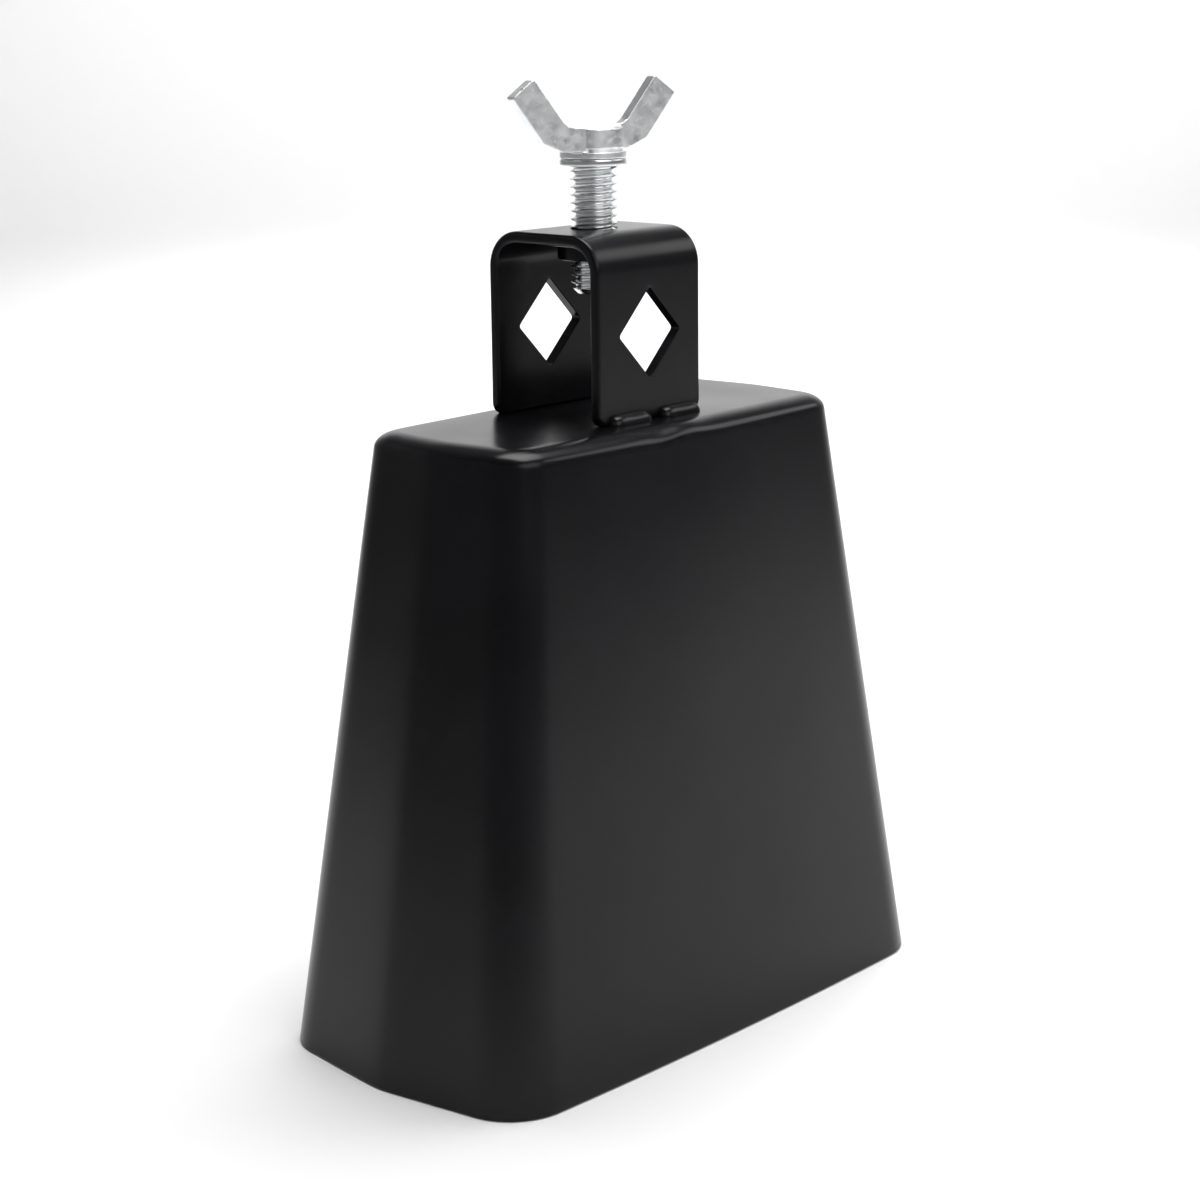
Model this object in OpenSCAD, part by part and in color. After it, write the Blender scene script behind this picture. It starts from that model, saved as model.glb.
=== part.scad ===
// Cowbell of welded sheet steel with a square-hole rod clamp and a wing screw.
// Millimetres. Z up. The origin is the centre of the mouth, in the plane of its rim.
// X runs along the wide faces and Y from the front face (-Y) to the rear face.

/* [Bell body] */
// Height from the rim of the mouth to the top of the crown
bell_h = 127; // [90:1:200]
// Length of the mouth along X, without the ridges of the ends
mouth_w = 134; // [110:1:160]
// Depth of the mouth along Y, without the bulge of the wide faces
mouth_d = 70; // [56:1:90]
// Length of the crown along X, without the ridges of the ends
crown_w = 99; // [80:1:108]
// Depth of the crown along Y, without the bulge of the wide faces
crown_d = 44; // [38:1:54]
// Radius of the four upright corners at the mouth
mouth_corner_r = 13; // [8:0.5:20]
// Radius of the four upright corners at the crown
crown_corner_r = 8.5; // [5:0.5:14]
// How far a wide face bulges out at the mouth
mouth_bulge = 1.1; // [0.5:0.1:3]
// How far a wide face bulges out at the crown
crown_bulge = 1.5; // [0.5:0.1:3]
// How far the ridge of an end stands out at the mouth
mouth_ridge = 3.4; // [1:0.1:6]
// How far the ridge of an end stands out at the crown
crown_ridge = 1.6; // [0.5:0.1:3]
// Thickness of the body's sheet steel
wall = 1.5; // [1:0.1:2.5]
// Rounding of the crown's edge
crown_edge_r = 3; // [1.8:0.1:4]
// Height of the crown's turned-down rim
crown_rim = 8; // [6:0.5:14]

/* [Rod clamp] */
// Width of the clamp's strap along X
strap_w = 31; // [26:0.5:40]
// Distance over the clamp's two legs along Y
clamp_d = 30; // [28:0.5:36]
// Height of the clamp above the crown
clamp_h = 37.6; // [34:0.1:46]
// How far the clamp is welded off the crown's centre along X
clamp_x = -1.9; // [-4:0.1:4]
// How far the clamp is welded off the crown's centre along Y
clamp_y = 1.5; // [-3:0.1:3]
// Thickness of the strap
strap_t = 2.4; // [1.5:0.1:3]
// Outer radius of the strap's two bends
strap_bend_r = 7.5; // [4:0.5:10]
// Rounding of the legs' lower corners
foot_corner_r = 2; // [0.5:0.5:4]
// Side of the square rod holes, which stand on a corner
rod_hole_side = 13; // [10:0.5:15]
// Height of the rod holes' centre above the crown
rod_hole_h = 17.5; // [16:0.5:20]
// Outer diameter of the nut welded under the strap
nut_d = 15; // [13:0.5:18]
// Depth of the nut
nut_h = 3.8; // [3:0.1:6]

/* [Wing screw] */
// Major diameter of the thread
thread_d = 9.525; // [6:0.005:10]
// Pitch of the thread
pitch = 1.5875; // [1:0.0005:2]
// Clearance of the thread in its tapped bore, on the radius
thread_clearance = 0.05; // [0.01:0.01:0.1]
// Gap between the washer and the clamp as the screw stands
screw_gap = 12.5; // [1:0.5:16]
// Length of the screw below the washer
screw_reach = 25.6; // [22:0.1:27]
// Outer diameter of the washer and of the head's flange
flange_d = 13.6; // [12:0.1:16]
// Thickness of the washer and of the flange
flange_t = 1.5; // [1:0.1:2.5]
// Diameter of the head's hub
hub_d = 12.6; // [11.6:0.1:14]
// Height of the hub above the flange
hub_h = 4.8; // [4:0.1:8]
// Angle of the wings about the screw's axis
wing_turn = -19; // [-180:1:180]
// Lean of each wing away from the axis
wing_lean = 37; // [20:1:50]
// Width of a wing's blade
wing_w = 6; // [4:0.1:8]
// Length of a wing's blade
wing_l = 11.3; // [8:0.1:18]
// Thickness of a wing
wing_t = 3; // [2:0.1:3.5]
// Distance of a wing's middle plane from the axis
wing_offset = 3.2; // [0:0.1:4]

/* [Hidden] */

coat = "#242427";
weld_coat = "#303034";
zinc = "#b4b8ba";
round_fn = 64;
cut = 1;

corner_steps = 8;
side_steps = 6;
height_steps = 8;
edge_steps = 5;
bead_steps = 6;
ridge_fade = 1.5;

seam_z = bell_h - crown_rim;
seam_bead_half_w = 2;
seam_bead_h = 1;
seam_bead_start = 3;
seam_bead_gap = 0.5;

foot_bead_r = 2.2;
foot_bead_l = 11.8;
foot_bead_gap = 3.2;
foot_beads_x = 0.8;

clamp_top = bell_h + clamp_h;
rod_hole_z = bell_h + rod_hole_h;
bore_r = thread_d / 2 + thread_clearance;
nut_z = clamp_top - strap_t - nut_h;

washer_z = clamp_top + screw_gap;
washer_bore_r = thread_d / 2 + 0.4;
turning_gap = 0.05;
flange_z = washer_z + flange_t + turning_gap;
hub_z = flange_z + flange_t;
tip_z = washer_z - screw_reach;
thread_depth = 0.6134 * pitch;
thread_crest = pitch / 8;
thread_root = pitch / 4;
shank_h = 3.5;
wing_tip_r = 0.6;
wing_root = [8.7, 5.5];
wing_foot_x = 9.2;
wing_head_x = 6;

function mix(a, b, t) = a + (b - a) * t;
function backwards(list) = [for (i = [len(list) - 1:-1:0]) list[i]];
function but_last(list) = [for (i = [0:len(list) - 2]) list[i]];
function at_height(mouth, crown, z) = mix(mouth, crown, z / bell_h);
function ridge_at(z) = crown_ridge + (mouth_ridge - crown_ridge) * pow(1 - z / bell_h, ridge_fade);

// Lean of an end's flat half at height z, as the direction it faces in degrees from X.
function flank_angle(r, flat_d, ridge) =
    atan2(flat_d, r + ridge) - acos(r / norm([r + ridge, flat_d]));

// Half of the body's outline at height z, pulled in by inset: from the ridge of the +X end,
// round the front face, to the ridge of the -X end. Each end half is flat and touches its corner arc.
function half_outline(z, inset = 0) =
    let (
        w = at_height(mouth_w, crown_w, z) / 2 - inset,
        d = at_height(mouth_d, crown_d, z) / 2 - inset,
        r = at_height(mouth_corner_r, crown_corner_r, z) - inset,
        bulge = at_height(mouth_bulge, crown_bulge, z),
        ridge = ridge_at(z),
        flat_w = w - r,
        flat_d = d - r,
        seam = [w + ridge, 0],
        first = flank_angle(r, flat_d, ridge),
        last = atan(2 * bulge / flat_w) - 90,
        corner = [
            for (i = [0:corner_steps])
                let (a = mix(first, last, i / corner_steps))
                [flat_w, -flat_d] + r * [cos(a), sin(a)]
        ],
        side = [
            for (i = [1:side_steps - 1])
                let (x = mix(flat_w, -flat_w, i / side_steps), a = atan(2 * bulge * x / pow(flat_w, 2)) - 90)
                [x, -flat_d - bulge * (1 - pow(x / flat_w, 2))] + r * [cos(a), sin(a)]
        ],
        end = concat([seam], corner),
        far_end = [for (p = backwards(end)) [-p.x, p.y]]
    )
    concat(end, side, far_end);

function outline(z, inset = 0) =
    let (half = but_last(half_outline(z, inset)))
    concat(half, -1 * half);

function lifted(points, z) = [for (p = points) [p.x, p.y, z]];

// Joins a list of clockwise rings, each with the same number of points, into one closed solid.
// The first and last rings are capped, or joined to each other where the solid is a loop.
// The rings of a bent sheet run along one face and back along the other, so a strip caps them.
module skin(rings, loop = false, sheet = false) {
    n = len(rings[0]);
    count = len(rings);
    bands = loop ? count : count - 1;
    sides = [
        for (k = [0:bands - 1], i = [0:n - 1])
            let (
                a = k * n + i,
                b = k * n + (i + 1) % n,
                c = (k + 1) % count * n + (i + 1) % n,
                d = (k + 1) % count * n + i
            )
            each [[a, b, c], [a, c, d]]
    ];
    top = (count - 1) * n;
    strip = [for (i = [0:n / 2 - 2]) [i, i + 1, n - 2 - i, n - 1 - i]];
    caps = loop ? [] : sheet ? [
        for (quad = strip) each [backwards(quad), [for (corner = quad) top + corner]]
    ] : [
        [for (i = [n - 1:-1:0]) i],
        [for (i = [0:n - 1]) top + i]
    ];
    polyhedron(points = [for (ring = rings) each ring], faces = concat(sides, caps));
}

// One pressed half of the body: a wide face and half of each end, open at the mouth and the crown.
module half_shell() {
    skin([
        for (k = [0:height_steps])
            let (z = seam_z * k / height_steps)
            lifted(concat(half_outline(z), backwards(half_outline(z, wall))), z)
    ], sheet = true);
}

module front_shell() {
    color(coat) half_shell();
}

module rear_shell() {
    color(coat) rotate([0, 0, 180]) half_shell();
}

// Shallow pressed cap with a flat top, a rounded edge and a rim that meets both shells.
module crown() {
    edge_z = bell_h - crown_edge_r;
    edge = [
        for (i = [0:edge_steps])
            let (a = 90 * i / edge_steps, z = edge_z + crown_edge_r * sin(a))
            lifted(outline(z, crown_edge_r * (1 - cos(a))), z)
    ];
    inside = [
        lifted(outline(bell_h - wall, wall), bell_h - wall),
        lifted(outline(seam_z, wall), seam_z)
    ];
    color(coat) skin(concat(inside, [lifted(outline(seam_z), seam_z)], edge));
}

// Weld bead on the inside of the +X end, where the two shells meet at the ridge.
module seam_bead() {
    top_z = seam_z - seam_bead_half_w - seam_bead_gap;
    skin([
        for (k = [0:height_steps])
            let (
                z = mix(seam_bead_start, top_z, k / height_steps),
                inner = half_outline(z, wall),
                slope = (inner[0].x - inner[1].x) / (inner[0].y - inner[1].y)
            )
            [
                [inner[0].x - slope * seam_bead_half_w, seam_bead_half_w, z],
                [inner[0].x, 0, z],
                for (i = [0:bead_steps - 1])
                    let (
                        a = 180 * i / bead_steps,
                        y = -seam_bead_half_w * cos(a),
                        depth = slope * abs(y) + seam_bead_h * sin(a)
                    )
                    [inner[0].x - depth, y, z]
            ]
    ]);
}

module right_seam_weld() {
    color(weld_coat) seam_bead();
}

module left_seam_weld() {
    color(weld_coat) rotate([0, 0, 180]) seam_bead();
}

// Weld bead on the inside of the joint between the crown and the shells.
module crown_weld() {
    bead = [
        for (i = [0:bead_steps])
            let (a = 180 * i / bead_steps, z = seam_z - seam_bead_half_w * cos(a))
            lifted(outline(z, wall + seam_bead_h * sin(a)), z)
    ];
    color(weld_coat) skin(concat([lifted(outline(seam_z, wall), seam_z)], backwards(bead)), loop = true);
}

// Outline of the strap from the side: an upright rectangle with two rounded upper corners.
module arch(w, h, r) {
    translate([-w / 2, 0]) square([w, h - r]);
    translate([r - w / 2, 0]) square([w - 2 * r, h]);
    for (side = [-1, 1])
        translate([side * (w / 2 - r), h - r]) circle(r, $fn = round_fn);
}

// Outline of a leg from the front, with two rounded lower corners.
module leg_outline() {
    translate([-strap_w / 2, foot_corner_r]) square([strap_w, clamp_h]);
    translate([foot_corner_r - strap_w / 2, 0]) square([strap_w - 2 * foot_corner_r, clamp_h]);
    for (side = [-1, 1])
        translate([side * (strap_w / 2 - foot_corner_r), foot_corner_r]) circle(foot_corner_r, $fn = round_fn);
}

// Places the clamp and the screw on the crown.
module at_clamp() {
    translate([clamp_x, clamp_y, 0]) children();
}

module bore(r, z, h) {
    translate([0, 0, z - cut]) cylinder(r = r, h = h + 2 * cut, $fn = round_fn);
}

// Inverted U of bent strap with a square hole on its corner in each leg.
module clamp_bracket() {
    color(coat) at_clamp() difference() {
        translate([0, 0, bell_h]) intersection() {
            rotate([90, 0, 90]) linear_extrude(strap_w, center = true) difference() {
                arch(clamp_d, clamp_h, strap_bend_r);
                translate([0, -cut])
                    arch(clamp_d - 2 * strap_t, clamp_h - strap_t + cut, strap_bend_r - strap_t);
            }
            rotate([90, 0, 0]) linear_extrude(clamp_d + 2 * cut, center = true) leg_outline();
        }
        translate([0, 0, rod_hole_z]) rotate([0, 45, 0])
            cube([rod_hole_side, clamp_d + 2 * cut, rod_hole_side], center = true);
        bore(bore_r, clamp_top - strap_t, strap_t);
    }
}

// Fillet bead along X with rounded ends, in the corner between a leg and the crown.
module foot_bead() {
    straight = foot_bead_l - 2 * foot_bead_r;
    intersection() {
        union() {
            rotate([0, 90, 0]) cylinder(r = foot_bead_r, h = straight, center = true, $fn = round_fn);
            for (side = [-1, 1])
                translate([side * straight / 2, 0, 0]) sphere(foot_bead_r, $fn = round_fn);
        }
        translate([-foot_bead_l, -2 * foot_bead_r, 0])
            cube([2 * foot_bead_l, 2 * foot_bead_r, 2 * foot_bead_r]);
    }
}

module foot_beads() {
    for (side = [-1, 1])
        translate([foot_beads_x + side * (foot_bead_l + foot_bead_gap) / 2, -clamp_d / 2, bell_h]) foot_bead();
}

module front_foot_welds() {
    color(weld_coat) at_clamp() foot_beads();
}

module rear_foot_welds() {
    color(weld_coat) at_clamp() mirror([0, 1, 0]) foot_beads();
}

// Nut that carries the thread, welded under the strap.
module weld_nut() {
    color(coat) at_clamp() difference() {
        translate([0, 0, nut_z]) cylinder(d = nut_d, h = nut_h, $fn = round_fn);
        bore(bore_r, nut_z, nut_h);
    }
}

module washer() {
    color(zinc) at_clamp() difference() {
        translate([0, 0, washer_z]) cylinder(d = flange_d, h = flange_t, $fn = round_fn);
        bore(washer_bore_r, washer_z, flange_t);
    }
}

// One wing from the side, above the flange: a root that grows from the hub and a leaning blade.
module wing_outline() {
    blade_foot = wing_root + wing_w * [cos(wing_lean), -sin(wing_lean)];
    overlap = [sin(wing_lean), cos(wing_lean)];
    polygon([
        [0, 0], [wing_foot_x, 0], blade_foot, blade_foot + overlap,
        wing_root + overlap, wing_root, [wing_head_x, hub_h], [0, hub_h]
    ]);
    translate(wing_root) rotate(-wing_lean) {
        square([wing_w, wing_l - wing_tip_r]);
        translate([wing_tip_r, 0]) square([wing_w - 2 * wing_tip_r, wing_l]);
        for (x = [wing_tip_r, wing_w - wing_tip_r])
            translate([x, wing_l - wing_tip_r]) circle(wing_tip_r, $fn = round_fn);
    }
}

module wing() {
    translate([0, wing_offset, hub_z]) rotate([90, 0, 0])
        linear_extrude(wing_t, center = true) wing_outline();
}

// Head of the wing screw: flange, hub and two wings set off to opposite sides of the axis.
module wing_head() {
    color(zinc) at_clamp() difference() {
        union() {
            translate([0, 0, flange_z]) cylinder(d = flange_d, h = flange_t, $fn = round_fn);
            translate([0, 0, hub_z]) cylinder(d = hub_d, h = hub_h, $fn = round_fn);
            for (turn = [0, 180])
                rotate([0, 0, wing_turn + turn]) wing();
        }
        translate([0, 0, flange_z - cut]) cylinder(d = thread_d, h = shank_h + cut, $fn = round_fn);
    }
}

// Threaded stud pressed into the head. The thread is drawn as a stack of equal grooves.
module stud() {
    major_r = thread_d / 2;
    minor_r = major_r - thread_depth;
    flank = (pitch - thread_crest - thread_root) / 2;
    turns = floor((flange_z - tip_z) / pitch) - 1;
    grooves = [
        for (i = [0:turns - 1])
            let (z = tip_z + thread_depth + i * pitch)
            each [
                [major_r, z + thread_crest],
                [minor_r, z + thread_crest + flank],
                [minor_r, z + thread_crest + flank + thread_root],
                [major_r, z + pitch]
            ]
    ];
    top_z = flange_z + shank_h;
    color(zinc) at_clamp() rotate_extrude($fn = round_fn)
        polygon(concat(
            [[0, tip_z], [minor_r, tip_z], [major_r, tip_z + thread_depth]],
            grooves,
            [[major_r, top_z], [0, top_z]]
        ));
}

front_shell();
rear_shell();
crown();
left_seam_weld();
right_seam_weld();
crown_weld();
clamp_bracket();
front_foot_welds();
rear_foot_welds();
weld_nut();
washer();
wing_head();
stud();
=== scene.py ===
import math

import bmesh
import bpy
from mathutils import Matrix, Vector, noise


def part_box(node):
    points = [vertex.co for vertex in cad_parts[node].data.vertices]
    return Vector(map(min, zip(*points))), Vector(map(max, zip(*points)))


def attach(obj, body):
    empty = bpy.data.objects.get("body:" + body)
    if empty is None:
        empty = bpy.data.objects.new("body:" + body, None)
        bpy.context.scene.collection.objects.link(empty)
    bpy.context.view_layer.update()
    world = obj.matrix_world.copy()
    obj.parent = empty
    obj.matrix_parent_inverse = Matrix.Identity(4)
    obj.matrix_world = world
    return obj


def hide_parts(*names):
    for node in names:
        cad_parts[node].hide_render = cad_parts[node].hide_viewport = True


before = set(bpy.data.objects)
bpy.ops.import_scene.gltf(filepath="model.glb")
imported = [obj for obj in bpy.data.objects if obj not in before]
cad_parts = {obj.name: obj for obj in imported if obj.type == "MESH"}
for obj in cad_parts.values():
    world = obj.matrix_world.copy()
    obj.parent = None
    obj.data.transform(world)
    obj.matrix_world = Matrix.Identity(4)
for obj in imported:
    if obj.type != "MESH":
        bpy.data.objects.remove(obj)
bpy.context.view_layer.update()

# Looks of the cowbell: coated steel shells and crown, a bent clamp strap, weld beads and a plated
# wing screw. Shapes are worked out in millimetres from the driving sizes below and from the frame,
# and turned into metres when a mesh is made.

MM = 0.001


def mm_box(node):
    """Lowest and highest corner of a CAD node, in millimetres."""
    return [Vector(corner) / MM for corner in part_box(node)]


# --- driving sizes, in millimetres ---------------------------------------------------------------

BELL_H = mm_box("crown")[1].z
WALL = 1.5
# The body's outline at the mouth and at the crown: width, depth, corner radius, how far the wide
# faces bulge, and how far the ridge stands out of each end.
MOUTH = {"w": 134.0, "d": 70.0, "r": 13.0, "bulge": 1.1, "ridge": 3.4}
CROWN = {"w": 99.0, "d": 44.0, "r": 8.5, "bulge": 1.5, "ridge": 1.6}
RIDGE_FADE = 1.5
CROWN_EDGE_R = 3.0
CROWN_EDGE_IN = 4.8
RIM_R = 0.45
SEAM_Z = mm_box("crown")[0].z

STRAP_LOW, STRAP_HIGH = mm_box("clamp_bracket")
STRAP_W = STRAP_HIGH.x - STRAP_LOW.x
CLAMP_D = STRAP_HIGH.y - STRAP_LOW.y
CLAMP_H = STRAP_HIGH.z - STRAP_LOW.z
CLAMP_X = (STRAP_HIGH.x + STRAP_LOW.x) / 2
CLAMP_Y = (STRAP_HIGH.y + STRAP_LOW.y) / 2
STRAP_T = 2.4
BEND_R = 7.5
FOOT_R = 2.0
ROD_HOLE = 13.0
ROD_HOLE_CORNER_R = 0.7
ROD_HOLE_H = 17.5

THREAD_D = 9.525
PITCH = 1.5875
THREAD_DEPTH = 0.6134 * PITCH
BORE_R = THREAD_D / 2 + 0.05

STUD_LOW = mm_box("stud")[0]
WASHER_LOW, WASHER_HIGH = mm_box("washer")
NUT_LOW, NUT_HIGH = mm_box("weld_nut")
HEAD_LOW = mm_box("wing_head")[0]
WASHER_BORE_R = THREAD_D / 2 + 0.4
FLANGE_R = (WASHER_HIGH.x - WASHER_LOW.x) / 2
FLANGE_T = 1.5
HUB_R = 6.3
HUB_H = 4.8

# The wings: turn about the axis, lean of the blades, then the blades' width, length, thickness and
# set-off, with the points of the side outline as (out, up) from the hub's foot.
WING_TURN = math.radians(-19)
WING_LEAN = math.radians(37)
WING_W = 6.0
WING_L = 11.3
WING_T = 3.0
WING_OFFSET = 3.2
WING_ROOT = (8.7, 5.5)
WING_FOOT_X = 9.2
WING_HEAD_X = 6.0
WING_TIP_R = 0.6


# --- small helpers -------------------------------------------------------------------------------

def mix(a, b, t):
    return a + (b - a) * t


def smooth_step(low, high, x):
    t = min(max((x - low) / (high - low), 0.0), 1.0)
    return t * t * (3 - 2 * t)


def arc(centre, radius, start, end, steps):
    """Points of an arc, in degrees, both ends included."""
    angles = [math.radians(mix(start, end, i / steps)) for i in range(steps + 1)]
    return [(centre[0] + radius * math.cos(a), centre[1] + radius * math.sin(a)) for a in angles]


def grid_faces(rows, columns, wrap=False):
    """Quads of a grid whose points are listed row by row; wrap joins the last column to the first."""
    last = columns if wrap else columns - 1
    return [
        (r * columns + c, r * columns + (c + 1) % columns,
         (r + 1) * columns + (c + 1) % columns, (r + 1) * columns + c)
        for r in range(rows - 1) for c in range(last)
    ]


def piece(name, points, faces, sharp_above=35):
    """A mesh object from points in millimetres, smooth but for edges sharper than that angle."""
    mesh = bpy.data.meshes.new(name)
    mesh.from_pydata([Vector(p) * MM for p in points], [], faces)
    work = bmesh.new()
    work.from_mesh(mesh)
    bmesh.ops.remove_doubles(work, verts=work.verts, dist=1e-6)
    bmesh.ops.recalc_face_normals(work, faces=work.faces)
    limit = math.radians(sharp_above)
    for face in work.faces:
        face.smooth = True
    for edge in work.edges:
        edge.smooth = len(edge.link_faces) == 2 and edge.calc_face_angle() < limit
    work.to_mesh(mesh)
    work.free()
    made = bpy.data.objects.new(name, mesh)
    bpy.context.scene.collection.objects.link(made)
    return made


def apply_modifiers(made):
    """Turns the object's modifiers into its own mesh."""
    graph = bpy.context.evaluated_depsgraph_get()
    mesh = bpy.data.meshes.new_from_object(made.evaluated_get(graph))
    made.modifiers.clear()
    made.data = mesh


def soften(made, width, segments=3, angle=40, share=lambda place: 1.0):
    """Rounds the edges sharper than that angle; share gives each edge's part of the width."""
    work = bmesh.new()
    work.from_mesh(made.data)
    weight = work.edges.layers.float.new("bevel_weight_edge")
    for edge in work.edges:
        edge.smooth = True
        if edge.calc_face_angle(0) > math.radians(angle):
            edge[weight] = share((edge.verts[0].co + edge.verts[1].co) / 2 / MM)
    work.to_mesh(made.data)
    work.free()
    bevel = made.modifiers.new("soft_edges", "BEVEL")
    bevel.width = width * MM
    bevel.segments = segments
    bevel.limit_method = "WEIGHT"
    made.modifiers.new("even_shading", "WEIGHTED_NORMAL")
    apply_modifiers(made)


def dress(made, material, slot, body, *nodes):
    """Gives a piece its material, its body and the CAD nodes that it stands for."""
    made.data.materials.clear()
    made.data.materials.append(material)
    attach(made, body)
    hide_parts(*nodes)
    return made


# --- materials -----------------------------------------------------------------------------------

class Nodes:
    """Short ways to add nodes to a material."""

    def __init__(self, name):
        self.material = bpy.data.materials.new(name)
        self.material.use_nodes = True
        self.tree = self.material.node_tree
        self.shader = self.tree.nodes["Principled BSDF"]
        self.place = self.tree.nodes.new("ShaderNodeTexCoord").outputs["Object"]

    def link(self, output, target):
        self.tree.links.new(output, target)

    def noise(self, scale, detail=2.0, stretch=None):
        place = self.place
        if stretch:
            mapping = self.tree.nodes.new("ShaderNodeMapping")
            mapping.inputs["Scale"].default_value = stretch
            self.link(place, mapping.inputs["Vector"])
            place = mapping.outputs["Vector"]
        texture = self.tree.nodes.new("ShaderNodeTexNoise")
        texture.inputs["Scale"].default_value = scale
        texture.inputs["Detail"].default_value = detail
        self.link(place, texture.inputs["Vector"])
        return texture.outputs["Fac"]

    def spread(self, value, low, high, start=0.3, end=0.7):
        """A noise value spread between two numbers."""
        node = self.tree.nodes.new("ShaderNodeMapRange")
        for name, number in zip(("From Min", "From Max", "To Min", "To Max"), (start, end, low, high)):
            node.inputs[name].default_value = number
        self.link(value, node.inputs["Value"])
        return node.outputs["Result"]

    def colour(self, value, dark, light, start=0.3, end=0.7):
        ramp = self.tree.nodes.new("ShaderNodeValToRGB")
        ramp.color_ramp.elements[0].position = start
        ramp.color_ramp.elements[1].position = end
        ramp.color_ramp.elements[0].color = (*dark, 1)
        ramp.color_ramp.elements[1].color = (*light, 1)
        self.link(value, ramp.inputs["Fac"])
        return ramp.outputs["Color"]

    def bump(self, height, distance, below=None):
        node = self.tree.nodes.new("ShaderNodeBump")
        node.inputs["Strength"].default_value = 1.0
        node.inputs["Distance"].default_value = distance * MM
        self.link(height, node.inputs["Height"])
        if below:
            self.link(below, node.inputs["Normal"])
        return node.outputs["Normal"]


def powder_coat(name, dark, light, rough_low, rough_high, peel):
    """Satin black powder coat: faint mottling, orange peel and a fine grain."""
    n = Nodes(name)
    n.link(n.colour(n.noise(60, 4), dark, light), n.shader.inputs["Base Color"])
    n.link(n.spread(n.noise(35, 3), rough_low, rough_high), n.shader.inputs["Roughness"])
    orange_peel = n.bump(n.noise(650, 2), peel)
    n.link(n.bump(n.noise(2600, 1), 0.002, orange_peel), n.shader.inputs["Normal"])
    n.shader.inputs["Specular IOR Level"].default_value = 0.22
    return n.material


def zinc_plate(name, rough_low, rough_high, pit, grain_scale):
    """Bright zinc plate: cool grey with cloudy sheen, fine pits and rubbed lines."""
    n = Nodes(name)
    cloudy = n.colour(n.noise(260, 5), (0.74, 0.76, 0.78), (0.93, 0.94, 0.94))
    n.link(cloudy, n.shader.inputs["Base Color"])
    n.link(n.spread(n.noise(420, 4), rough_low, rough_high), n.shader.inputs["Roughness"])
    pits = n.bump(n.noise(grain_scale, 4), pit)
    rubbed = n.noise(500, 2, stretch=(1, 1, 6))
    n.link(n.bump(rubbed, pit / 3, pits), n.shader.inputs["Normal"])
    n.shader.inputs["Metallic"].default_value = 1.0
    return n.material


BLACK_COAT = powder_coat(
    "black_powder_coat", (0.0021, 0.0021, 0.0031), (0.0043, 0.0043, 0.0060), 0.20, 0.27, 0.004)
WELD_COAT = powder_coat("coated_weld", (0.003, 0.003, 0.0035), (0.007, 0.007, 0.008), 0.16, 0.26, 0.008)
ZINC_CAST = zinc_plate("plated_wing_head", 0.26, 0.40, 0.016, 1100)
ZINC_TURNED = zinc_plate("plated_thread", 0.15, 0.24, 0.0012, 1400)


# --- body of the bell ----------------------------------------------------------------------------

CORNER_STEPS = 14
SIDE_STEPS = 32
FLANK_STEPS = 12
HEIGHT_STEPS = 56
RIDGE_SOFTNESS = 2.2
SHEET_WAVE = 0.05
# Where the welding moved the crown's edge: place along X, half width, rise.
EDGE_DIP = (-10.5, 4.0, -0.3)
EDGE_RISE = (-1.5, 5.0, 0.4)


def at_height(key, z):
    return mix(MOUTH[key], CROWN[key], z / BELL_H)


def ridge_at(z):
    return CROWN["ridge"] + (MOUTH["ridge"] - CROWN["ridge"]) * max(1 - z / BELL_H, 0) ** RIDGE_FADE


def half_outline(z, inset=0.0):
    """Front half of the body's outline at height z, from the +X ridge to the -X ridge."""
    w, d = at_height("w", z) / 2 - inset, at_height("d", z) / 2 - inset
    r, bulge, ridge = at_height("r", z) - inset, at_height("bulge", z), ridge_at(z)
    flat_w, flat_d = w - r, d - r
    first = math.atan2(flat_d, r + ridge) - math.acos(r / math.hypot(r + ridge, flat_d))
    last = math.atan(2 * bulge / flat_w) - math.pi / 2
    corner = arc((flat_w, -flat_d), r, math.degrees(first), math.degrees(last), CORNER_STEPS)
    ridge_x = w + ridge
    slope = (ridge_x - corner[0][0]) / -corner[0][1]
    flank = []
    for i in range(FLANK_STEPS):
        y = -corner[0][1] * (i / FLANK_STEPS) ** 1.6
        flank.append((ridge_x - slope * math.hypot(y, RIDGE_SOFTNESS), -y))
    side = []
    for i in range(1, SIDE_STEPS):
        x = mix(flat_w, -flat_w, i / SIDE_STEPS)
        lean = math.atan(2 * bulge * x / flat_w ** 2)
        side.append((
            x + r * math.sin(lean),
            -flat_d - bulge * (1 - (x / flat_w) ** 2) - r * math.cos(lean),
        ))
    end = flank + corner
    return end + side + [(-x, y) for x, y in reversed(end)]


def worked(x, y, z):
    """Marks of hand work: faint waves in the wide faces, and the crown's edge moved by the welds."""
    front = -1 if y < 0 else 1
    wave = math.sin(x / 19 + 0.8 * front) * math.sin(z / 27 + 1.3) + 0.6 * math.sin(x / 9 - z / 21)
    wave *= smooth_step(8, 20, abs(y)) * smooth_step(4, 30, z) * smooth_step(BELL_H, BELL_H - 22, z)
    moved = sum(
        rise * math.exp(-((-front * x - at) / wide) ** 2)
        for at, wide, rise in (EDGE_DIP, EDGE_RISE)
    )
    moved *= smooth_step(17, 22, abs(y)) * smooth_step(BELL_H - 10, BELL_H - 2, z)
    return (x, y + front * SHEET_WAVE * wave, z + moved)


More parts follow.
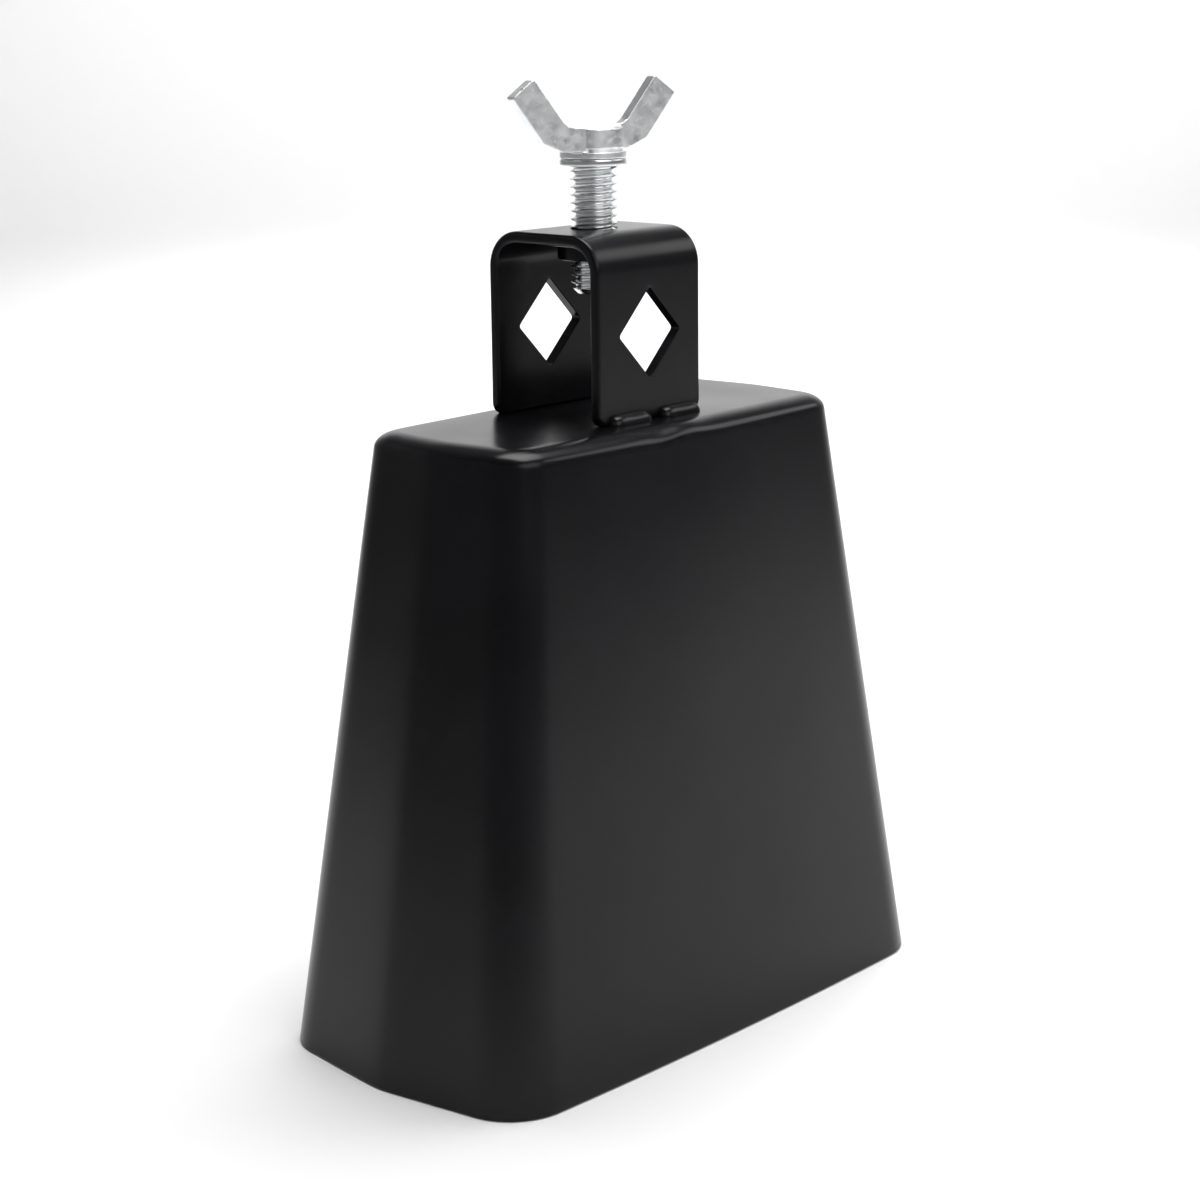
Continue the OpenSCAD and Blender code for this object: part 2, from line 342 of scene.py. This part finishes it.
def half_shell(turn):
    """One pressed half of the body with a rounded rim, turned by 1 or -1: points, skin, cut faces."""
    heights = [SEAM_Z * i / HEIGHT_STEPS for i in range(HEIGHT_STEPS + 1)]
    levels = [z for z in heights if z > RIM_R]
    rim = [(RIM_R + z, RIM_R + out) for out, z in arc((0, 0), RIM_R, 180, 270, 5)]
    rim += [(RIM_R + z, WALL - RIM_R + out) for out, z in arc((0, 0), RIM_R, 270, 360, 5)]
    rings = [(z, 0.0) for z in reversed(levels)] + rim + [(z, WALL) for z in levels]
    points = [
        worked(turn * x, turn * y, z) for z, inset in rings for x, y in half_outline(z, inset)
    ]
    count = len(points) // len(rings)
    skin = grid_faces(len(rings), count)
    top_in = (len(rings) - 1) * count
    cut = [(i, top_in + i, top_in + i + 1, i + 1) for i in range(count - 1)]
    for column in (0, count - 1):
        edge = [k * count + column for k in range(len(rings))]
        cut += [(edge[k], edge[k + 1], edge[-2 - k], edge[-1 - k]) for k in range(len(rings) // 2 - 1)]
    return points, skin, cut


def full_ring(z, inset, scale=1.0):
    """The body's whole outline at height z, both halves."""
    half = half_outline(z, inset)[:-1]
    return [worked(x * scale, y * scale, z) for x, y in half + [(-x, -y) for x, y in half]]


def crown_cap():
    """Pressed cap with a rounded edge, a flat top and a turned-down rim: points, skin, cut faces."""
    inner_r = CROWN_EDGE_R - WALL
    side = [mix(SEAM_Z, BELL_H - CROWN_EDGE_R, i / 6) for i in range(7)]
    shrink = [1 - i / 12 for i in range(1, 12)]
    outside = [full_ring(z, 0) for z in side]
    outside += [
        full_ring(BELL_H + (up - 1) * CROWN_EDGE_R, (1 - out) * CROWN_EDGE_IN)
        for out, up in arc((0, 0), 1, 0, 90, 14)[1:]
    ]
    outside += [full_ring(BELL_H, CROWN_EDGE_IN, s) for s in shrink]
    inside = [full_ring(z, WALL) for z in side]
    inside += [
        full_ring(BELL_H - CROWN_EDGE_R + up, CROWN_EDGE_R - out)
        for out, up in arc((0, 0), inner_r, 0, 90, 4)[1:]
    ]
    inside += [full_ring(BELL_H - WALL, CROWN_EDGE_R, s) for s in shrink]
    count = len(outside[0])
    points, skin = [], []
    for rings, z in ((outside, BELL_H), (inside, BELL_H - WALL)):
        start = len(points)
        points += [p for ring in rings for p in ring]
        skin += [tuple(start + k for k in face) for face in grid_faces(len(rings), count, wrap=True)]
        last = len(points) - count
        centre = len(points)
        points.append((0, 0, z))
        skin += [(last + i, last + (i + 1) % count, centre) for i in range(count)]
    other = len(outside) * count + 1
    cut = [(i, other + i, other + (i + 1) % count, (i + 1) % count) for i in range(count)]
    return points, skin, cut


def place_key(place):
    """A place in metres as whole steps of 0.005 mm, to find the same place again."""
    return tuple(round(c / MM * 200) for c in place)


def skin_normals(parts):
    """Smooth normals of the whole coated body, by place, so that its joints don't show."""
    work = bmesh.new()
    for points, skin, _ in parts:
        verts = [work.verts.new(Vector(p) * MM) for p in points]
        for face in skin:
            work.faces.new([verts[k] for k in face])
    bmesh.ops.remove_doubles(work, verts=work.verts, dist=1e-6)
    bmesh.ops.recalc_face_normals(work, faces=work.faces)
    normals = {place_key(v.co): v.normal.copy() for v in work.verts}
    work.free()
    return normals


def make_body():
    """The two shells and the crown, as three flush pieces."""
    parts = {"front_shell": half_shell(1), "rear_shell": half_shell(-1), "crown": crown_cap()}
    normals = skin_normals(parts.values())
    for node, (points, skin, cut) in parts.items():
        made = piece("coated_" + node, points, skin + cut, sharp_above=180)
        mesh = made.data
        cut_places = {frozenset(place_key(Vector(points[k]) * MM) for k in face) for face in cut}
        corners = []
        for face in mesh.polygons:
            places = [place_key(mesh.vertices[v].co) for v in face.vertices]
            flat = frozenset(places) in cut_places
            corners += [face.normal if flat else normals[place] for place in places]
        mesh.normals_split_custom_set(corners)
        dress(made, BLACK_COAT, "black_coat", "bell", node)


# --- weld beads ----------------------------------------------------------------------------------

BEAD_STEPS = 10
RIPPLE_STEP = 0.95
RIPPLE_RISE = 0.17
BEAD_HALF_W = 1.9
SEAM_BEAD_H = 1.25
CROWN_BEAD_H = 0.95
FOOT_BEAD_R = 2.2
FOOT_BEAD_L = 11.8
FOOT_BEAD_GAP = 3.2
FOOT_BEADS_X = 0.8
FOOT_BEAD_FULLNESS = 0.97
FOOT_BEAD_END = 7
FOOT_BEAD_WAVE = 0.012
BEAD_FADE_L = 1.6


def ripple(distance, across, step):
    """Rise of a weld bead: rounded scales that trail back towards the bead's sides."""
    phase = (distance / step + 0.4 * across * across) % 1.0
    return 1 + RIPPLE_RISE * (math.sin(math.pi * phase) - 0.6)


def bead(name, path, base, rise, closed=False):
    """A bead along a path; base and rise give the two directions of its section at each point."""
    lengths = [0.0]
    for before, after in zip(path, path[1:]):
        lengths.append(lengths[-1] + (after - before).length)
    total = lengths[-1]
    step = total / round(total / RIPPLE_STEP)
    points = []
    for place, far, along, up in zip(path, lengths, base, rise):
        taper = 1.0 if closed else mix(0.001, 1, min(min(far, total - far) / BEAD_FADE_L, 1) ** 0.5)
        for j in range(BEAD_STEPS + 1):
            angle = math.pi * j / BEAD_STEPS
            across = -math.cos(angle)
            height = math.sin(angle) * ripple(far, across, step) * taper
            points.append(place + along * across * taper + up * height)
    width = BEAD_STEPS + 1
    faces = grid_faces(len(path), width, wrap=True)
    if not closed:
        last = (len(path) - 1) * width
        faces += [tuple(range(width)), tuple(range(last, last + width))]
    return piece(name, points, faces, sharp_above=60)


def make_seam_welds():
    low, high = (corner.z for corner in mm_box("right_seam_weld"))
    steps = 420
    for node, turn in (("right_seam_weld", 1), ("left_seam_weld", -1)):
        heights = [mix(low, high, i / steps) for i in range(steps + 1)]
        path = [Vector((turn * half_outline(z, WALL)[0][0], 0, z)) for z in heights]
        base = [Vector((0, turn * BEAD_HALF_W, 0))] * len(path)
        rise = [Vector((-turn * SEAM_BEAD_H, 0, 0))] * len(path)
        dress(bead("bead_" + node, path, base, rise), WELD_COAT, "black_coat", "bell", node)


def make_crown_weld():
    around = [Vector(p) for p in full_ring(SEAM_Z, WALL)]
    path = []
    for a, b in zip(around, around[1:] + around[:1]):
        pieces = max(2, round((b - a).length / 0.2))
        path += [a.lerp(b, i / pieces) for i in range(pieces)]
    path.append(path[0].copy())
    rise = []
    for i, place in enumerate(path):
        along = (path[(i + 1) % (len(path) - 1)] - path[(i or len(path) - 1) - 1]).normalized()
        inward = Vector((-along.y, along.x, 0))
        rise.append(inward * (CROWN_BEAD_H if inward.dot(place) < 0 else -CROWN_BEAD_H))
    base = [Vector((0, 0, BEAD_HALF_W))] * len(path)
    made = bead("bead_crown_weld", path, base, rise, closed=True)
    dress(made, WELD_COAT, "black_coat", "bell", "crown_weld")


def make_foot_welds():
    """Smooth fillet beads at the clamp's feet, two to a leg, that fade out at both ends."""
    steps, width = 96, BEAD_STEPS + 2
    for node, side in (("front_foot_welds", -1), ("rear_foot_welds", 1)):
        points, faces = [], []
        foot_y = CLAMP_Y + side * CLAMP_D / 2
        for group in (-1, 1):
            centre = CLAMP_X + FOOT_BEADS_X + group * (FOOT_BEAD_L + FOOT_BEAD_GAP) / 2
            start = len(points)
            for i in range(steps + 1):
                t = mix(-1, 1, i / steps)
                x = centre + t * FOOT_BEAD_L / 2
                full = math.sqrt(max(1 - abs(t) ** FOOT_BEAD_END, 1e-6))
                swell = FOOT_BEAD_FULLNESS * FOOT_BEAD_R * full * (1 + FOOT_BEAD_WAVE * math.sin(0.9 * x))
                for j in range(BEAD_STEPS + 1):
                    angle = math.pi / 2 * j / BEAD_STEPS
                    out, up = swell * math.cos(angle), swell * math.sin(angle)
                    points.append((x, foot_y + side * out, BELL_H + up))
                points.append((x, foot_y, BELL_H))
            faces += [tuple(start + k for k in face) for face in grid_faces(steps + 1, width, wrap=True)]
            for first in (start, start + steps * width):
                faces.append(tuple(range(first, first + width)))
        dress(piece("bead_" + node, points, faces, sharp_above=60), WELD_COAT, "black_coat", "bell", node)


# --- rod clamp -----------------------------------------------------------------------------------

EDGE_STEPS = 16
FOOT_ARC_STEPS = 4
HOLE_ARC_STEPS = 6
BEND_STEPS = 14
RING_SHARES = (0, 0.25, 0.6, 1)
STRAP_EDGE_R = 0.8
HOLE_EDGE_SHARE = 0.3
NUT_EDGE_R = 0.15
NUT_LEAD = 0.7
LEG_H = CLAMP_H - BEND_R
BEND_MID_R = BEND_R - STRAP_T / 2
BEND_L = math.pi / 2 * BEND_MID_R
TOP_L = CLAMP_D - 2 * BEND_R
STRAP_L = 2 * LEG_H + 2 * BEND_L + TOP_L


def line(a, b, steps):
    return [(mix(a[0], b[0], i / steps), mix(a[1], b[1], i / steps)) for i in range(steps + 1)]


def loop_of(*runs):
    """Joins runs, each of which ends where the next begins, into one closed loop."""
    return [p for run in runs for p in run[:-1]]


def leg_contour():
    """Points round a leg laid flat, as (across, along), from the middle of its lower left corner."""
    w, r, n = STRAP_W / 2, FOOT_R, FOOT_ARC_STEPS
    left, right = (r - w, r), (w - r, r)
    return loop_of(
        arc(left, r, 225, 270, n), line((r - w, 0), (w - r, 0), EDGE_STEPS - 2 * n),
        arc(right, r, 270, 315, n), arc(right, r, 315, 360, n),
        line((w, r), (w, LEG_H), EDGE_STEPS - n),
        line((w, LEG_H), (-w, LEG_H), EDGE_STEPS),
        line((-w, LEG_H), (-w, r), EDGE_STEPS - n), arc(left, r, 180, 225, n),
    )


def rod_hole_contour():
    """Points round the square rod hole on its corner, from the middle of its lower left side."""
    h, r = ROD_HOLE / 2, ROD_HOLE_CORNER_R
    half = (EDGE_STEPS - HOLE_ARC_STEPS) // 2

    def towards(distance, angle):
        a = math.radians(angle)
        return (distance * math.cos(a), ROD_HOLE_H + distance * math.sin(a))

    runs = []
    for turn in (-90, 0, 90, 180):
        corner = arc(towards((h - r) * math.sqrt(2), turn), r, turn - 45, turn + 45, HOLE_ARC_STEPS)
        runs += [
            line(towards(h, turn - 45), corner[0], half), corner,
            line(corner[-1], towards(h, turn + 45), half),
        ]
    return loop_of(*runs)


def flat_strap():
    """The strap laid flat: its points as (across, along) and its faces."""
    w, points, faces = STRAP_W / 2, [], []

    def add(new_points, new_faces):
        start = len(points)
        points.extend(new_points)
        faces.extend(tuple(start + k for k in face) for face in new_faces)

    def add_ring(hole, edge):
        rings = [
            [(mix(a[0], b[0], share), mix(a[1], b[1], share)) for a, b in zip(hole, edge)]
            for share in RING_SHARES
        ]
        add([p for ring in rings for p in ring], grid_faces(len(rings), len(hole), wrap=True))

    leg = (rod_hole_contour(), leg_contour())
    add_ring(*leg)
    add_ring(*([(x, STRAP_L - along) for x, along in contour] for contour in leg))
    low, high = LEG_H + BEND_L, STRAP_L - LEG_H - BEND_L
    bore = arc((0, STRAP_L / 2), BORE_R, -135, 225, 4 * EDGE_STEPS)[:-1]
    corners = [(-w, low), (w, low), (w, high), (-w, high)]
    sides = [line(a, b, EDGE_STEPS) for a, b in zip(corners, corners[1:] + corners[:1])]
    add_ring(bore, loop_of(*sides))
    for start in (LEG_H, high):
        rows = [line((-w, start + BEND_L * i / BEND_STEPS), (w, start + BEND_L * i / BEND_STEPS), EDGE_STEPS)
                for i in range(BEND_STEPS + 1)]
        add([p for row in rows for p in row], grid_faces(len(rows), EDGE_STEPS + 1))
    return points, faces


def on_strap(across, along, out):
    """Bends a point of the flat strap into place; out is its height above the strap's middle."""
    side = -1
    if along > STRAP_L / 2:
        along, side = STRAP_L - along, 1
    half = CLAMP_D / 2
    if along <= LEG_H:
        y, z = half - STRAP_T / 2 + out, along
    elif along <= LEG_H + BEND_L:
        a = (along - LEG_H) / BEND_MID_R
        y = half - BEND_R + (BEND_MID_R + out) * math.cos(a)
        z = LEG_H + (BEND_MID_R + out) * math.sin(a)
    else:
        y, z = STRAP_L / 2 - along, CLAMP_H - STRAP_T / 2 + out
    return (CLAMP_X + across, CLAMP_Y + side * y, BELL_H + z)


def make_clamp():
    """The bent strap, with full rounding on its outer edges and a light one round its holes."""
    flat, faces = flat_strap()
    points = [on_strap(x, along, out) for out in (STRAP_T / 2, -STRAP_T / 2) for x, along in flat]
    count = len(flat)
    key = [(round(x, 3), round(along, 3)) for x, along in flat]
    uses = {}
    for face in faces:
        for a, b in zip(face, face[1:] + face[:1]):
            uses.setdefault(frozenset((key[a], key[b])), []).append((a, b))
    walls = [(a, b, count + b, count + a) for (a, b), *more in uses.values() if not more]
    inner = [tuple(count + k for k in face) for face in faces]
    made = piece("coated_clamp", points, faces + inner + walls, 180)

    def share(at):
        outer = abs(at.x - CLAMP_X) > STRAP_W / 2 - 1 or at.z < BELL_H + 1
        return 1.0 if outer else HOLE_EDGE_SHARE

    soften(made, STRAP_EDGE_R, 5, 50, share)
    dress(made, BLACK_COAT, "black_coat", "bell", "clamp_bracket")


def turned(profile, steps=96):
    """Points and faces of a closed (radius, height) profile turned about the screw's axis."""
    points = []
    for radius, z in profile:
        points += [(x, y, z) for x, y in arc((CLAMP_X, CLAMP_Y), radius, 0, 360, steps)[:-1]]
    count = len(profile)
    faces = grid_faces(count, steps, wrap=True)
    last = (count - 1) * steps
    return points, faces + [(last + i, last + (i + 1) % steps, (i + 1) % steps, i) for i in range(steps)]


def make_nut():
    outer_r = (NUT_HIGH.x - NUT_LOW.x) / 2
    low, high, lead = NUT_LOW.z, NUT_HIGH.z, NUT_LEAD
    profile = [
        (BORE_R, low + lead), (BORE_R + lead, low), (outer_r - lead / 2, low), (outer_r, low + lead / 2),
        (outer_r, high), (BORE_R, high),
    ]
    made = piece("coated_nut", *turned(profile), 180)
    soften(made, NUT_EDGE_R, angle=30)
    dress(made, BLACK_COAT, "black_coat", "bell", "weld_nut")


# --- wing screw ----------------------------------------------------------------------------------

THREAD_COLUMNS = 72
# One turn of the thread's flank as (part of the pitch, part of the depth).
THREAD_SHAPE = (
    (0, 1), (0.0625, 1), (0.125, 1), (0.23, 0.664), (0.335, 0.328), (0.4375, 0.03), (0.5, 0),
    (0.5625, 0), (0.625, 0), (0.6875, 0.03), (0.79, 0.358), (0.895, 0.694),
)
SHANK_IN_HEAD = 0.6
WASHER_EDGE_R = 0.35
HUB_NECK = 0.35
HUB_CHAMFER = 0.5
HEAD_VOXEL = 0.13
HEAD_SMOOTHING = 4
CAST_WAVE = 0.035


def make_washer():
    low, high = WASHER_LOW.z, WASHER_HIGH.z
    profile = [(WASHER_BORE_R, low), (FLANGE_R, low), (FLANGE_R, high), (WASHER_BORE_R, high)]
    made = piece("plated_washer", *turned(profile), 180)
    soften(made, WASHER_EDGE_R, angle=30)
    dress(made, ZINC_TURNED, "zinc_plate", "washer", "washer")


def make_stud():
    """A right-hand helical thread with a chamfered tip."""
    major, minor = THREAD_D / 2, THREAD_D / 2 - THREAD_DEPTH
    tip, top = STUD_LOW.z, HEAD_LOW.z + SHANK_IN_HEAD
    turns = math.ceil((top - tip) / PITCH) + 3
    rows = [(turn - 1 + share, height) for turn in range(turns) for share, height in THREAD_SHAPE]
    points = []
    for climb, height in rows:
        for j in range(THREAD_COLUMNS):
            share = j / THREAD_COLUMNS
            z = min(max(tip + (climb + share) * PITCH, tip), top)
            radius = min(mix(minor, major, height), minor - 0.3 + (z - tip), minor - 0.1 + (top - z))
            a = 2 * math.pi * share
            points.append((CLAMP_X + radius * math.cos(a), CLAMP_Y + radius * math.sin(a), z))
    n, lift = THREAD_COLUMNS, len(THREAD_SHAPE)
    faces = [
        (k * n + j, k * n + j + 1, (k + 1) * n + j + 1, (k + 1) * n + j)
        for k in range(len(rows) - 1) for j in range(n - 1)
    ]
    faces += [
        (k * n + n - 1, (k + lift) * n, (k + lift + 1) * n, (k + 1) * n + n - 1)
        for k in range(len(rows) - lift - 1)
    ]
    for row, z in ((0, tip), (len(rows) - 1, top)):
        centre = len(points)
        points.append((CLAMP_X, CLAMP_Y, z))
        faces += [(row * n + i, row * n + (i + 1) % n, centre) for i in range(n)]
    made = piece("plated_stud", points, faces, sharp_above=50)
    dress(made, ZINC_TURNED, "zinc_plate", "wing_screw", "stud")


def wing_outline():
    """One wing from the side as (out, up) from the hub's foot: its root, then the leaning blade."""
    ux, uz = math.cos(WING_LEAN), -math.sin(WING_LEAN)

    def on_blade(across, along):
        return (WING_ROOT[0] + across * ux - along * uz, WING_ROOT[1] + across * uz + along * ux)

    r = WING_TIP_R
    tip = arc((WING_W - r, WING_L - r), r, 0, 90, 8) + arc((r, WING_L - r), r, 90, 180, 8)
    return [(0, 0), (WING_FOOT_X, 0), on_blade(WING_W, 0)] + [on_blade(*p) for p in tip] + [
        on_blade(0, 0.4), (WING_ROOT[0] - 0.9, WING_ROOT[1] - 0.45), (WING_HEAD_X, HUB_H), (0, HUB_H)]


def make_wing_head():
    """Cast head: flange, hub and two wings grown together with soft fillets and a faint cast grain."""
    flange_z, hub_z = HEAD_LOW.z, HEAD_LOW.z + FLANGE_T
    points, faces = [], []

    def add(new_points, new_faces):
        start = len(points)
        points.extend(new_points)
        faces.extend(tuple(start + k for k in face) for face in new_faces)

    neck_r, top = HUB_R - HUB_NECK, hub_z + HUB_H
    add(*turned([
        (0.001, flange_z), (FLANGE_R, flange_z), (FLANGE_R, hub_z - 0.15), (neck_r, hub_z - 0.15),
        (neck_r, hub_z + 0.25), (HUB_R, hub_z + 0.5), (HUB_R, top - HUB_CHAMFER),
        (HUB_R - HUB_CHAMFER, top), (0.001, top),
    ]))
    outline = wing_outline()
    count = len(outline)
    for turn in (0, math.pi):
        ca, sa = math.cos(WING_TURN + turn), math.sin(WING_TURN + turn)
        blade = []
        for thick in (-WING_T / 2, WING_T / 2):
            y = WING_OFFSET + thick
            blade += [
                (CLAMP_X + x * ca - y * sa, CLAMP_Y + x * sa + y * ca, hub_z + up) for x, up in outline
            ]
        ends = [tuple(range(count)), tuple(range(count, 2 * count))]
        add(blade, grid_faces(2, count, wrap=True) + ends)
    made = piece("plated_wing_head", points, faces, 180)
    grown = made.modifiers.new("grown_together", "REMESH")
    grown.mode, grown.voxel_size, grown.use_smooth_shade = "VOXEL", HEAD_VOXEL * MM, True
    fillets = made.modifiers.new("fillets", "SMOOTH")
    fillets.factor, fillets.iterations = 0.5, HEAD_SMOOTHING
    apply_modifiers(made)
    places = [(vertex.co.copy(), vertex.normal.copy()) for vertex in made.data.vertices]
    for vertex, (place, outward) in zip(made.data.vertices, places):
        at = place / MM
        swell = noise.noise(at * 0.9) + 0.5 * noise.noise(at * 2.3) - 1
        vertex.co = place + outward * swell * CAST_WAVE * MM
    dress(made, ZINC_CAST, "zinc_plate", "wing_screw", "wing_head")


# --- studio --------------------------------------------------------------------------------------

# The camera in degrees and millimetres; the floor's sweep and the lights in metres.
CAMERA_AZIMUTH, CAMERA_ELEVATION, CAMERA_ROLL = -47.503, 13.513, -0.688
CAMERA_DISTANCE = 530.05
TARGET_RIGHT, TARGET_UP = -2.071, 86.827
SENSOR = 36.0
LENS = 75.64
SWEEP_R, SWEEP_BEND_R, SWEEP_H, FLOOR_GAP = 2.0, 0.8, 2.2, 0.0001


def make_camera():
    a, e, roll = (math.radians(v) for v in (CAMERA_AZIMUTH, CAMERA_ELEVATION, CAMERA_ROLL))
    back = Vector((math.sin(a) * math.cos(e), -math.cos(a) * math.cos(e), math.sin(e)))
    right = Vector((math.cos(a), math.sin(a), 0))
    up = back.cross(right)
    target = right * TARGET_RIGHT + Vector((0, 0, TARGET_UP))
    camera = bpy.data.objects.new("camera", bpy.data.cameras.new("camera"))
    camera.data.lens, camera.data.sensor_width = LENS, SENSOR
    across = right * math.cos(roll) + up * math.sin(roll)
    upwards = up * math.cos(roll) - right * math.sin(roll)
    camera.matrix_world = Matrix((across, upwards, back)).transposed().to_4x4()
    camera.location = (target + back * CAMERA_DISTANCE) * MM
    bpy.context.scene.collection.objects.link(camera)
    bpy.context.scene.camera = camera


def make_light(name, place, aim, size, power, spread):
    lamp = bpy.data.lights.new(name, "AREA")
    lamp.shape, lamp.size, lamp.size_y, lamp.energy = "RECTANGLE", size[0], size[1], power
    lamp.spread = math.radians(spread)
    made = bpy.data.objects.new(name, lamp)
    made.location = place
    made.rotation_mode = "QUATERNION"
    made.rotation_quaternion = (Vector(place) - Vector(aim)).to_track_quat("Z", "Y")
    bpy.context.scene.collection.objects.link(made)


def make_studio():
    """Round pale floor that sweeps up into a wall, a weak even room light and five soft lamps."""
    sweep = arc((SWEEP_R, SWEEP_BEND_R - FLOOR_GAP), SWEEP_BEND_R, -90, 0, 16)
    sweep = [(SWEEP_R * i / 8, -FLOOR_GAP) for i in range(8)] + sweep + [(sweep[-1][0], SWEEP_H)]
    steps = 128
    points = [
        (x / MM, y / MM, z / MM)
        for radius, z in sweep for x, y in arc((0, 0), radius, 0, 360, steps)[:-1]
    ]
    floor = piece("floor", points, grid_faces(len(sweep), steps, wrap=True), 180)
    paint = bpy.data.materials.new("pale_floor")
    paint.use_nodes = True
    shader = paint.node_tree.nodes["Principled BSDF"]
    shader.inputs["Base Color"].default_value = (0.86, 0.86, 0.86, 1)
    shader.inputs["Roughness"].default_value = 0.9
    shader.inputs["Specular IOR Level"].default_value = 0.1
    floor.data.materials.append(paint)
    world = bpy.data.worlds.new("soft_room")
    world.use_nodes = True
    world.node_tree.nodes["Background"].inputs["Color"].default_value = (1, 1, 1, 1)
    world.node_tree.nodes["Background"].inputs["Strength"].default_value = 0.1
    bpy.context.scene.world = world
    make_light("overhead", (0.42, 0.08, 1.3), (0.42, 0.08, 0), (1.1, 1.1), 9.5, 95)
    make_light("rear_wash", (1.2, 0.9, 1.9), (2.2, 1.8, 0.3), (1.8, 0.8), 18, 110)
    make_light("front_fill", (-0.15, -1.3, 0.95), (0, 0, 0.15), (1.4, 1.0), 5, 140)
    make_light("floor_wash", (0.92, 0.84, 0.95), (0.92, 0.84, 0), (0.7, 0.7), 2.0, 80)
    make_light("right_side", (1.15, -0.62, 0.95), (0, 0, 0.13), (1.0, 0.45), 1.4, 120)
    bpy.context.scene.view_settings.view_transform = "Standard"


make_body()
make_seam_welds()
make_crown_weld()
make_foot_welds()
make_clamp()
make_nut()
make_washer()
make_stud()
make_wing_head()
make_studio()
make_camera()


bpy.context.view_layer.update()
